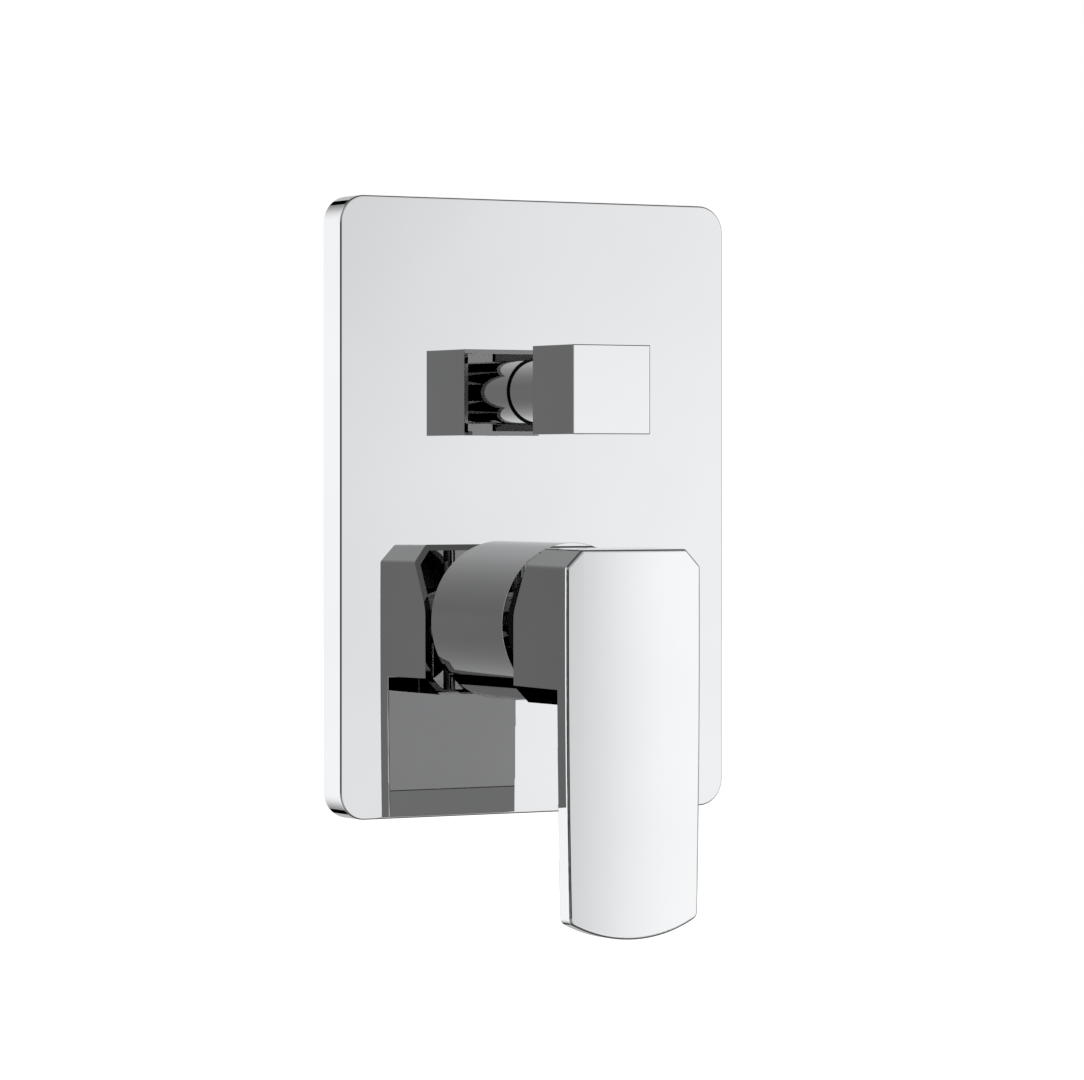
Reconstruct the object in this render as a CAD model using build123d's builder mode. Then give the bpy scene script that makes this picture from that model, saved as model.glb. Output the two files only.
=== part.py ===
from build123d import *
import os
from math import cos, radians, sin, tan

os.makedirs("parts", exist_ok=True)

# Concealed single-lever bath mixer with a rotary diverter, in millimetres.
# The finished wall is Y = 0, the front faces -Y, +Z is up and the origin is behind the plate's centre.
# A height is a distance in front of the wall, so a negative height is inside it.

# Clearances
fit_clearance = 0.1
running_clearance = 0.05
moving_clearance = 0.3

# Cover plate and its gasket
plate_width = 130.0
plate_height = 180.0
plate_depth = 10.5
plate_wall = 1.8
plate_corner_radius = 8.0
plate_edge_radius = 0.6
plate_wall_gap = 0.3
axis_spacing = 67.6
gasket_width = 6.0
collar_wall = 3.6
collar_length = 5.5

# Lever sleeve and the ring that holds the plate on it
sleeve_radius = 23.5
sleeve_wall = 1.9
sleeve_step = 0.5
sleeve_reach = 21.1
sleeve_length = 29.6
sleeve_edge_radius = 0.1
sleeve_ring_cord = 2.0
sleeve_cap_thickness = 1.5

# Lever handle
handle_gap = 5.1
handle_width = 44.6
handle_tip_width = 42.6
handle_rise = 22.0
handle_drop = 88.7
handle_depth = 29.35
handle_draft = 0.7
handle_crown = 0.7
handle_wall = 1.5
handle_front_wall = 3.2
handle_edge_radius = 0.85
blade_edge_radius = 0.35
blade_thickness = 5.4
block_drop = 22.2
corner_chamfer = 5.0
tip_crown = 5.5
tip_corner_radius = 2.5
block_corner_radius = 1.3
relief_start = 1.3
relief_radius = 9.0
relief_angle = 26.5
boss_radius = 8.5
boss_recess = 3.3
socket_depth = 11.0
column_radius = 3.6
rib_radius = 1.8

# Lever grub screw and the plug over it
lever_grub_radius = 2.0
lever_grub_length = 8.0
lever_key_radius = 1.1
plug_radius = 3.0
plug_thickness = 1.4

# Cartridge
cartridge_length = 22.0
cartridge_recess = 5.6
cartridge_wall = 2.0
neck_wall = 1.9
neck_length = 13.0
base_thickness = 4.5
chamber_top_wall = 4.0
carrier_radius = 11.3
carrier_flange = 3.2
carrier_pocket = 8.2
carrier_ring_cord = 1.6
carrier_ring_inset = 2.5
disc_thickness = 3.5
disc_margin = 1.2
disc_gap = 0.05
mixing_pocket_radius = 6.5
mixing_pocket_depth = 1.8
carriage_plate = 2.7
carriage_boss_wall = 1.8
port_pitch_radius = 9.0
port_radius = 3.4
seal_cord = 1.4

# Cartridge stem
stem_size = 8.0
stem_heel = 4.5
stem_chamfer = 0.8
pivot_depth = 5.5
pivot_radius = 2.0
pin_inset = 0.5
arm_length = 9.0
arm_radius = 2.1
ball_radius = 2.8
lift_angle = 25.0
lift_slide = 3.8

# Cartridge nut
nut_wall = 2.4
nut_seat_step = 1.4
nut_thread_length = 6.0
nut_hex_gap = 0.8
nut_hex_height = 4.0

# Diverter knob
knob_size = 25.6
knob_depth = 23.2
knob_gap = 20.2
knob_edge_radius = 0.15
knob_wall = 1.3
knob_hollow = 12.9
knob_stem_radius = 9.3
knob_stem_wall = 1.7
knob_stem_length = 24.7
knob_stem_gap = 0.6
stem_seal_clearance = 0.15
stem_seal_width = 3.5
stem_seal_thickness = 1.5
knob_socket_depth = 11.0
knob_grub_radius = 2.0
knob_grub_length = 6.0
knob_key_radius = 1.1

# Diverter headwork
bonnet_radius = 10.0
bonnet_length = 15.0
bonnet_inset = 9.5
bonnet_hex = 24.0
bonnet_hex_height = 4.0
bonnet_neck_gap = 0.4
bonnet_neck_length = 15.0
bonnet_wall = 1.8
bonnet_chamber_depth = 9.7
bonnet_ring_cord = 1.8
spindle_radius = 4.0
spindle_flange = 1.9
spindle_square = 5.6
spindle_shoulder = 2.5
spindle_ring_cord = 1.3
spindle_ring_inset = 4.0
diverter_disc_thickness = 3.2
diverter_port_radius = 2.0
diverter_pitch_radius = 5.0
clip_radius = 5.6
clip_thickness = 0.8
clip_groove_depth = 0.8
clip_opening = 4.0

# Valve body
cup_radius = 24.0
sleeve_stop = 2.0
diverter_cup_wall = 4.5
body_wall = 4.0
manifold_depth = 13.0
port_boss_radius = 12.6
port_hex = 27.0
port_hex_length = 13.0
port_bore_radius = 9.3
port_thread_length = 14.0
port_chamfer = 0.8
inlet_reach = 40.0
outlet_reach = 36.0
channel_radius = 5.5
mix_channel_radius = 4.5
spine_channel_radius = 5.0
channel_web = 2.0
channel_overrun = 0.5
column_width = 20.0
spine_radius = 8.5
spine_depth = 16.0
lug_spacing = 58.0
lug_radius = 7.0
lug_thickness = 6.0
lug_hole_radius = 2.75

# Heights and places that follow from those sizes
lever_z = -axis_spacing / 2
diverter_z = axis_spacing / 2
plate_inside = plate_depth - plate_wall
sleeve_front = plate_depth + sleeve_reach
sleeve_back = sleeve_front - sleeve_length
block_back = sleeve_front + handle_gap
handle_front = block_back + handle_depth
blade_back = handle_front - blade_thickness
cavity_floor = handle_front - handle_front_wall
boss_back = block_back + boss_recess
socket_floor = boss_back + socket_depth
grub_height = boss_back + socket_depth / 2
neck_front = sleeve_front - cartridge_recess
shoulder = neck_front - neck_length
nut_front = shoulder + nut_thread_length
cartridge_seat = shoulder - cartridge_length
chamber_floor = cartridge_seat + base_thickness
chamber_top = shoulder - chamber_top_wall
pivot_height = neck_front - pivot_depth
ball_height = pivot_height - arm_length
moving_disc_back = chamber_floor + disc_thickness + disc_gap
carriage_back = moving_disc_back + disc_thickness
carriage_front = carriage_back + carriage_plate
carrier_back = carriage_front + moving_clearance
pocket_top = carrier_back + carrier_pocket
knob_back = plate_depth + knob_gap
knob_stem_back = knob_back - knob_stem_length
knob_grub_height = knob_back + knob_socket_depth / 2
bonnet_seat = plate_depth - bonnet_inset
bonnet_back = bonnet_seat - bonnet_length
bonnet_neck_back = bonnet_seat + bonnet_hex_height
bonnet_front = bonnet_neck_back + bonnet_neck_length
bonnet_chamber_top = bonnet_back + bonnet_chamber_depth
spindle_back = bonnet_chamber_top - moving_clearance - spindle_flange
spindle_front = knob_back + knob_socket_depth - moving_clearance
diverter_disc_back = spindle_back - diverter_disc_thickness
diverter_seat = diverter_disc_back - disc_gap - diverter_disc_thickness
manifold = cartridge_seat - manifold_depth
spine = manifold - spine_depth
body_back = manifold - mix_channel_radius - body_wall
lug_back = spine - spine_radius

# Radii that nest inside the sleeve, from the outside in
sleeve_foot = sleeve_radius - sleeve_step
sleeve_bore = sleeve_radius - sleeve_wall
neck_outer = sleeve_bore - fit_clearance
nut_bore = neck_outer - nut_wall
cup_bore = nut_bore - nut_seat_step
cartridge_radius = cup_bore - fit_clearance
chamber_radius = cartridge_radius - cartridge_wall
disc_radius = chamber_radius - lift_slide / 2 - disc_margin
disc_offset = lift_slide / 2
carrier_bore = carrier_radius + moving_clearance
neck_radius = carrier_bore + neck_wall
ball_socket = ball_radius + moving_clearance
carriage_boss = ball_socket + carriage_boss_wall

# Radii that nest inside the knob's stem and the diverter cup
knob_stem_bore = knob_stem_radius - knob_stem_wall
bonnet_neck_radius = knob_stem_bore - bonnet_neck_gap
bonnet_chamber = bonnet_radius - bonnet_wall
diverter_bore = bonnet_radius + fit_clearance
diverter_cup_radius = diverter_bore + diverter_cup_wall
spindle_bore = spindle_radius + running_clearance


def facing(height, z=0.0):
    """The plane parallel to the wall at a height, turned towards the user."""
    return Plane(origin=(0, -height, z), x_dir=(1, 0, 0), z_dir=(0, -1, 0))


def rising(height, z):
    """The level plane through a point of the centre line, turned upwards."""
    return Plane(origin=(0, -height, z), x_dir=(1, 0, 0), z_dir=(0, 0, 1))


def hanging(height, z):
    """The level plane through a point of the centre line, turned downwards."""
    return Plane(origin=(0, -height, z), x_dir=(1, 0, 0), z_dir=(0, 0, -1))


def sideways(height, z, x=0.0, side=1):
    """The upright plane at a distance from the centre line, turned to one side."""
    return Plane(origin=(x, -height, z), x_dir=(0, 1, 0), z_dir=(side, 0, 0))


def o_ring(height, z, bore, cord):
    """A rubber ring of round cord about an axis square to the wall."""
    with BuildPart(facing(height, z)) as ring:
        Torus(bore + cord / 2, cord / 2 - running_clearance)
    return ring


def grub_screw(height, z, radius, length, key_radius):
    """A headless screw that hangs below a stem, with a hexagon socket in its lower end."""
    with BuildPart() as screw:
        with BuildSketch(hanging(height, z)):
            Circle(radius - running_clearance)
        extrude(amount=length)
        chamfer(screw.edges().filter_by(GeomType.CIRCLE), length=radius / 6)
        with BuildSketch(hanging(height, z - length)):
            RegularPolygon(key_radius, 6)
        extrude(amount=-length / 2, mode=Mode.SUBTRACT)
    return screw


# Cover plate: a shallow pan with a soft edge, a collar for the sleeve and a clear hole for the knob's stem
collar_back = plate_inside - collar_length
sleeve_ring_height = collar_back + collar_length / 2
with BuildPart() as cover_plate:
    with BuildSketch(facing(plate_wall_gap)):
        RectangleRounded(plate_width, plate_height, plate_corner_radius)
    extrude(amount=plate_depth - plate_wall_gap)
    fillet(cover_plate.faces().sort_by(Axis.Y)[0].edges(), radius=plate_edge_radius)
    with BuildSketch(facing(plate_wall_gap)):
        RectangleRounded(
            plate_width - 2 * plate_wall, plate_height - 2 * plate_wall, plate_corner_radius - plate_wall
        )
    extrude(amount=plate_inside - plate_wall_gap, mode=Mode.SUBTRACT)
    with BuildSketch(facing(collar_back, lever_z)):
        Circle(sleeve_radius + collar_wall)
    extrude(amount=collar_length)
    with BuildSketch(facing(collar_back, lever_z)):
        Circle(sleeve_foot + fit_clearance)
    extrude(amount=plate_depth - collar_back, mode=Mode.SUBTRACT)
    with BuildSketch(facing(sleeve_ring_height - sleeve_ring_cord / 2, lever_z)):
        Circle(sleeve_foot + sleeve_ring_cord)
    extrude(amount=sleeve_ring_cord, mode=Mode.SUBTRACT)
    with BuildSketch(facing(plate_inside, diverter_z)):
        Circle(knob_stem_radius + knob_stem_gap)
    extrude(amount=plate_wall, mode=Mode.SUBTRACT)
cover_plate.part.label = "cover_plate"
export_step(cover_plate.part, "parts/cover_plate.step")

# Plate gasket: a foam band inside the rim, from the plate's inner face to the wall
gasket_inset = plate_wall + fit_clearance
gasket_outer_width = plate_width - 2 * gasket_inset
gasket_outer_height = plate_height - 2 * gasket_inset
with BuildPart() as plate_gasket:
    with BuildSketch(facing(0)):
        RectangleRounded(gasket_outer_width, gasket_outer_height, plate_corner_radius - gasket_inset)
        Rectangle(
            gasket_outer_width - 2 * gasket_width, gasket_outer_height - 2 * gasket_width, mode=Mode.SUBTRACT
        )
    extrude(amount=plate_inside)
plate_gasket.part.label = "plate_gasket"
export_step(plate_gasket.part, "parts/plate_gasket.step")

# Lever sleeve: the round tube that hides the cartridge, with a step that seats on the plate's front
with BuildPart() as lever_sleeve:
    with BuildSketch(facing(sleeve_back, lever_z)):
        Circle(sleeve_foot)
    extrude(amount=sleeve_length)
    with BuildSketch(facing(plate_depth, lever_z)):
        Circle(sleeve_radius)
    extrude(amount=sleeve_reach)
    fillet(lever_sleeve.faces().sort_by(Axis.Y)[0].edges(), radius=sleeve_edge_radius)
    with BuildSketch(facing(sleeve_back, lever_z)):
        Circle(sleeve_bore)
    extrude(amount=sleeve_length, mode=Mode.SUBTRACT)
lever_sleeve.part.label = "lever_sleeve"
export_step(lever_sleeve.part, "parts/lever_sleeve.step")

# Ring between the sleeve and the plate's collar
sleeve_o_ring = o_ring(sleeve_ring_height, lever_z, sleeve_foot, sleeve_ring_cord)
sleeve_o_ring.part.label = "sleeve_o_ring"
export_step(sleeve_o_ring.part, "parts/sleeve_o_ring.step")

# Valve body: the brass casting in the wall, with a cup for the cartridge, one for the diverter, and ports
cup_top = sleeve_back - sleeve_stop
spine_web = body_back - spine + body_wall
bath_link_drop = outlet_reach - port_thread_length - mix_channel_radius
bath_link_z = lever_z - bath_link_drop
spine_bottom = bath_link_z - spine_radius
spine_top = diverter_z + spine_radius
mix_channel_bottom = lever_z + port_pitch_radius - port_radius - channel_overrun
mix_channel_top = diverter_z - diverter_pitch_radius + diverter_port_radius + channel_overrun
spine_channel_top = diverter_z + diverter_port_radius + channel_overrun
diverter_ports = [(0, -diverter_pitch_radius), (0, diverter_pitch_radius), (diverter_pitch_radius, 0)]
bath_port_depth = bonnet_back - spine
ports = {
    "hot": sideways(manifold, lever_z, -inlet_reach, -1),
    "cold": sideways(manifold, lever_z, inlet_reach, 1),
    "shower": rising(manifold, diverter_z + outlet_reach),
    "bath": hanging(manifold, lever_z - outlet_reach),
}
channel_depths = {
    "hot": inlet_reach - mix_channel_radius - channel_web,
    "cold": inlet_reach - mix_channel_radius - channel_web,
    "shower": outlet_reach - diverter_pitch_radius + diverter_port_radius + channel_overrun,
    "bath": outlet_reach - bath_link_drop,
}
boss_depths = {"hot": inlet_reach, "cold": inlet_reach, "shower": outlet_reach, "bath": outlet_reach}
with BuildPart() as valve_body:
    with BuildSketch(facing(body_back, lever_z)):
        Circle(cup_radius)
    extrude(amount=cup_top - body_back)
    with BuildSketch(facing(cup_top, lever_z)):
        Circle(neck_outer)
    extrude(amount=nut_front - cup_top)
    with BuildSketch(facing(body_back, diverter_z)):
        Circle(diverter_cup_radius)
    extrude(amount=bonnet_seat - body_back)
    with BuildSketch(facing(body_back)):
        Rectangle(column_width, axis_spacing)
    extrude(amount=2 * (mix_channel_radius + body_wall))
    with BuildSketch(rising(spine, spine_bottom)):
        Circle(spine_radius)
        with Locations((0, -spine_web / 2)):
            Rectangle(2 * spine_radius, spine_web)
    extrude(amount=spine_top - spine_bottom)
    with BuildSketch(facing(lug_back)):
        SlotCenterToCenter(lug_spacing, 2 * lug_radius)
    extrude(amount=lug_thickness)
    for name, mouth in ports.items():
        with BuildSketch(mouth):
            Circle(port_boss_radius)
        extrude(amount=-boss_depths[name])
        with BuildSketch(mouth):
            RegularPolygon(port_hex / 2, 6, major_radius=False)
        extrude(amount=-port_hex_length)
    # Cartridge cup with the nut's thread at its mouth and three ports in its floor
    with BuildSketch(facing(cartridge_seat, lever_z)):
        Circle(cup_bore)
    extrude(amount=nut_front - cartridge_seat, mode=Mode.SUBTRACT)
    with BuildSketch(facing(shoulder, lever_z)):
        Circle(nut_bore)
    extrude(amount=nut_thread_length, mode=Mode.SUBTRACT)
    with BuildSketch(facing(cartridge_seat, lever_z)):
        with PolarLocations(port_pitch_radius, 3, start_angle=90):
            Circle(port_radius)
    extrude(amount=-manifold_depth, mode=Mode.SUBTRACT)
    # Diverter cup with a seat for the bonnet's ring and three ports in its floor
    with BuildSketch(facing(bonnet_back, diverter_z)):
        Circle(diverter_bore)
    extrude(amount=bonnet_length, mode=Mode.SUBTRACT)
    with BuildSketch(facing(bonnet_seat, diverter_z)):
        Circle(bonnet_radius + bonnet_ring_cord)
    extrude(amount=-bonnet_ring_cord, mode=Mode.SUBTRACT)
    with BuildSketch(facing(bonnet_back, diverter_z)):
        with Locations(*diverter_ports[:2]):
            Circle(diverter_port_radius)
    extrude(amount=manifold - bonnet_back, mode=Mode.SUBTRACT)
    with BuildSketch(facing(bonnet_back, diverter_z)):
        with Locations(diverter_ports[2]):
            Circle(diverter_port_radius)
    extrude(amount=-bath_port_depth, mode=Mode.SUBTRACT)
    # Drilled ways: mixed water up to the diverter, and from the diverter down the spine to the bath
    with BuildSketch(rising(manifold, mix_channel_bottom)):
        Circle(mix_channel_radius)
    extrude(amount=mix_channel_top - mix_channel_bottom, mode=Mode.SUBTRACT)
    with BuildSketch(rising(spine, bath_link_z)):
        Circle(spine_channel_radius)
    extrude(amount=spine_channel_top - bath_link_z, mode=Mode.SUBTRACT)
    with BuildSketch(facing(spine, bath_link_z)):
        Circle(mix_channel_radius)
    extrude(amount=manifold - spine, mode=Mode.SUBTRACT)
    # Threaded mouths of the ports and the ways behind them
    for name, mouth in ports.items():
        with BuildSketch(mouth):
            Circle(channel_radius)
        extrude(amount=-channel_depths[name], mode=Mode.SUBTRACT)
        with BuildSketch(mouth):
            Circle(port_bore_radius)
        extrude(amount=-port_thread_length, mode=Mode.SUBTRACT)
    with BuildSketch(facing(lug_back)):
        with GridLocations(lug_spacing, 0, 2, 1):
            Circle(lug_hole_radius)
    extrude(amount=lug_thickness, mode=Mode.SUBTRACT)
    rims = valve_body.edges().filter_by(GeomType.CIRCLE)
    rims = rims.filter_by(lambda rim: abs(rim.radius - port_bore_radius) < fit_clearance)
    inlet_rims = rims.group_by(Axis.X)[0] + rims.group_by(Axis.X)[-1]
    outlet_rims = rims.group_by(Axis.Z)[0] + rims.group_by(Axis.Z)[-1]
    chamfer(inlet_rims + outlet_rims, length=port_chamfer)
valve_body.part.label = "valve_body"
export_step(valve_body.part, "parts/valve_body.step")

# Cartridge housing: the plastic shell, with a chamber for the discs and a neck round the carrier
with BuildPart() as cartridge_housing:
    with BuildSketch(facing(chamber_floor, lever_z)):
        Circle(cartridge_radius)
    extrude(amount=shoulder - chamber_floor)
    with BuildSketch(facing(shoulder, lever_z)):
        Circle(neck_radius)
    extrude(amount=neck_length)
    with BuildSketch(facing(chamber_floor, lever_z)):
        Circle(chamber_radius)
    extrude(amount=chamber_top - chamber_floor, mode=Mode.SUBTRACT)
    with BuildSketch(facing(chamber_top, lever_z)):
        Circle(carrier_bore)
    extrude(amount=neck_front - chamber_top, mode=Mode.SUBTRACT)
cartridge_housing.part.label = "cartridge_housing"
export_step(cartridge_housing.part, "parts/cartridge_housing.step")

# Cartridge base: the foot, with a groove for a seal round each port
with BuildPart() as cartridge_base:
    with BuildSketch(facing(cartridge_seat, lever_z)):
        Circle(cartridge_radius)
        with PolarLocations(port_pitch_radius, 3, start_angle=90):
            Circle(port_radius, mode=Mode.SUBTRACT)
    extrude(amount=base_thickness)
    with BuildSketch(facing(cartridge_seat, lever_z)):
        with PolarLocations(port_pitch_radius, 3, start_angle=90):
            Circle(port_radius + seal_cord)
    extrude(amount=seal_cord, mode=Mode.SUBTRACT)
cartridge_base.part.label = "cartridge_base"
export_step(cartridge_base.part, "parts/cartridge_base.step")

# Port seals: one rubber ring in each groove of the foot
with BuildPart(facing(cartridge_seat + seal_cord / 2, lever_z)) as port_seals:
    with PolarLocations(port_pitch_radius, 3, start_angle=90):
        Torus(port_radius + seal_cord / 2, seal_cord / 2 - running_clearance)
port_seals.part.label = "port_seals"
export_step(port_seals.part, "parts/port_seals.step")

# Fixed disc: the ceramic seat with the hot, cold and mixed ports
with BuildPart() as fixed_disc:
    with BuildSketch(facing(chamber_floor, lever_z)):
        Circle(chamber_radius - fit_clearance)
        with PolarLocations(port_pitch_radius, 3, start_angle=90):
            Circle(port_radius, mode=Mode.SUBTRACT)
    extrude(amount=disc_thickness)
fixed_disc.part.label = "fixed_disc"
export_step(fixed_disc.part, "parts/fixed_disc.step")

# Moving disc: the ceramic slide with the mixing pocket in its back
with BuildPart() as moving_disc:
    with BuildSketch(facing(moving_disc_back, lever_z + disc_offset)):
        Circle(disc_radius)
    extrude(amount=disc_thickness)
    with BuildSketch(facing(moving_disc_back, lever_z + disc_offset)):
        Circle(mixing_pocket_radius)
    extrude(amount=mixing_pocket_depth, mode=Mode.SUBTRACT)
moving_disc.part.label = "moving_disc"
export_step(moving_disc.part, "parts/moving_disc.step")

# Disc carriage: the plastic slide that carries the moving disc, with a socket for the stem's ball
carriage_boss_front = ball_height + ball_radius / 2
with BuildPart() as disc_carriage:
    with BuildSketch(facing(carriage_back, lever_z + disc_offset)):
        Circle(disc_radius)
    extrude(amount=carriage_plate)
    with BuildSketch(facing(carriage_front, lever_z)):
        Circle(carriage_boss)
    extrude(amount=carriage_boss_front - carriage_front)
    with BuildSketch(facing(ball_height - ball_socket, lever_z)):
        Circle(ball_socket)
    extrude(amount=carriage_boss_front - ball_height + ball_socket, mode=Mode.SUBTRACT)
disc_carriage.part.label = "disc_carriage"
export_step(disc_carriage.part, "parts/disc_carriage.step")

# Stem carrier: the rotor in the cartridge's neck, slotted so that the stem can tilt in it
slot_near = stem_size / 2 / cos(radians(lift_angle)) + moving_clearance
slot_far = slot_near + pivot_depth * tan(radians(lift_angle))
slot_width = stem_size + 2 * moving_clearance
slot_shift = (slot_far - slot_near) / 2
pocket_half = carriage_boss + moving_clearance
carrier_ring_bore = carrier_bore - carrier_ring_cord
carrier_ring_height = neck_front - carrier_ring_inset
with BuildPart() as stem_carrier:
    with BuildSketch(facing(carrier_back, lever_z)):
        Circle(carrier_radius)
    extrude(amount=neck_front - carrier_back)
    with BuildSketch(facing(carrier_back, lever_z)):
        Circle(chamber_radius - moving_clearance)
    extrude(amount=carrier_flange)
    with BuildSketch(facing(carrier_ring_height - carrier_ring_cord / 2, lever_z)):
        Circle(carrier_radius)
        Circle(carrier_ring_bore, mode=Mode.SUBTRACT)
    extrude(amount=carrier_ring_cord, mode=Mode.SUBTRACT)
    with BuildSketch(facing(carrier_back, lever_z - lift_slide / 2)):
        Rectangle(2 * pocket_half, 2 * pocket_half + lift_slide)
    extrude(amount=carrier_pocket, mode=Mode.SUBTRACT)
    with BuildSketch(facing(pocket_top, lever_z - slot_shift)):
        Rectangle(slot_width, slot_near + slot_far)
    extrude(amount=pivot_height - pocket_top, mode=Mode.SUBTRACT)
    with BuildSketch(facing(pivot_height, lever_z + slot_shift)):
        Rectangle(slot_width, slot_near + slot_far)
    extrude(amount=pivot_depth, mode=Mode.SUBTRACT)
    with BuildSketch(sideways(pivot_height, lever_z)):
        Circle(pivot_radius + running_clearance)
    extrude(amount=carrier_radius, both=True, mode=Mode.SUBTRACT)
stem_carrier.part.label = "stem_carrier"
export_step(stem_carrier.part, "parts/stem_carrier.step")

# Ring between the carrier and the cartridge's neck
carrier_o_ring = o_ring(carrier_ring_height, lever_z, carrier_ring_bore, carrier_ring_cord)
carrier_o_ring.part.label = "carrier_o_ring"
export_step(carrier_o_ring.part, "parts/carrier_o_ring.step")

# Pivot pin: the steel cross pin on which the stem tilts
with BuildPart() as pivot_pin:
    with BuildSketch(sideways(pivot_height, lever_z)):
        Circle(pivot_radius)
    extrude(amount=carrier_radius - pin_inset, both=True)
pivot_pin.part.label = "pivot_pin"
export_step(pivot_pin.part, "parts/pivot_pin.step")

# Cartridge stem: a square bar with a ball on its inner end
stem_back = pivot_height - stem_heel
with BuildPart() as cartridge_stem:
    with BuildSketch(facing(stem_back, lever_z)):
        Rectangle(stem_size, stem_size)
    extrude(amount=socket_floor - moving_clearance - stem_back)
    chamfer(cartridge_stem.faces().sort_by(Axis.Y)[0].edges(), length=stem_chamfer)
    with BuildSketch(facing(ball_height, lever_z)):
        Circle(arm_radius)
    extrude(amount=stem_back - ball_height)
    with Locations((0, -ball_height, lever_z)):
        Sphere(ball_radius)
    with BuildSketch(sideways(pivot_height, lever_z)):
        Circle(pivot_radius + running_clearance)
    extrude(amount=stem_size, both=True, mode=Mode.SUBTRACT)
cartridge_stem.part.label = "cartridge_stem"
export_step(cartridge_stem.part, "parts/cartridge_stem.step")

# Cartridge nut: a threaded ring with a hexagon that clamps the cartridge's shoulder
with BuildPart() as cartridge_nut:
    with BuildSketch(facing(shoulder, lever_z)):
        Circle(nut_bore - fit_clearance)
    extrude(amount=nut_thread_length)
    with BuildSketch(facing(nut_front, lever_z)):
        RegularPolygon(sleeve_bore - nut_hex_gap, 6)
    extrude(amount=nut_hex_height)
    with BuildSketch(facing(shoulder, lever_z)):
        Circle(neck_radius + fit_clearance)
    extrude(amount=nut_thread_length + nut_hex_height, mode=Mode.SUBTRACT)
cartridge_nut.part.label = "cartridge_nut"
export_step(cartridge_nut.part, "parts/cartridge_nut.step")

# Sleeve cap: a plastic ring that closes the sleeve's mouth round the cartridge's neck
sleeve_cap_back = nut_front + nut_hex_height + running_clearance
with BuildPart() as sleeve_cap:
    with BuildSketch(facing(sleeve_cap_back, lever_z)):
        Circle(sleeve_bore - running_clearance)
        Circle(neck_radius + fit_clearance, mode=Mode.SUBTRACT)
    extrude(amount=sleeve_cap_thickness)
sleeve_cap.part.label = "sleeve_cap"
export_step(sleeve_cap.part, "parts/sleeve_cap.step")

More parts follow.
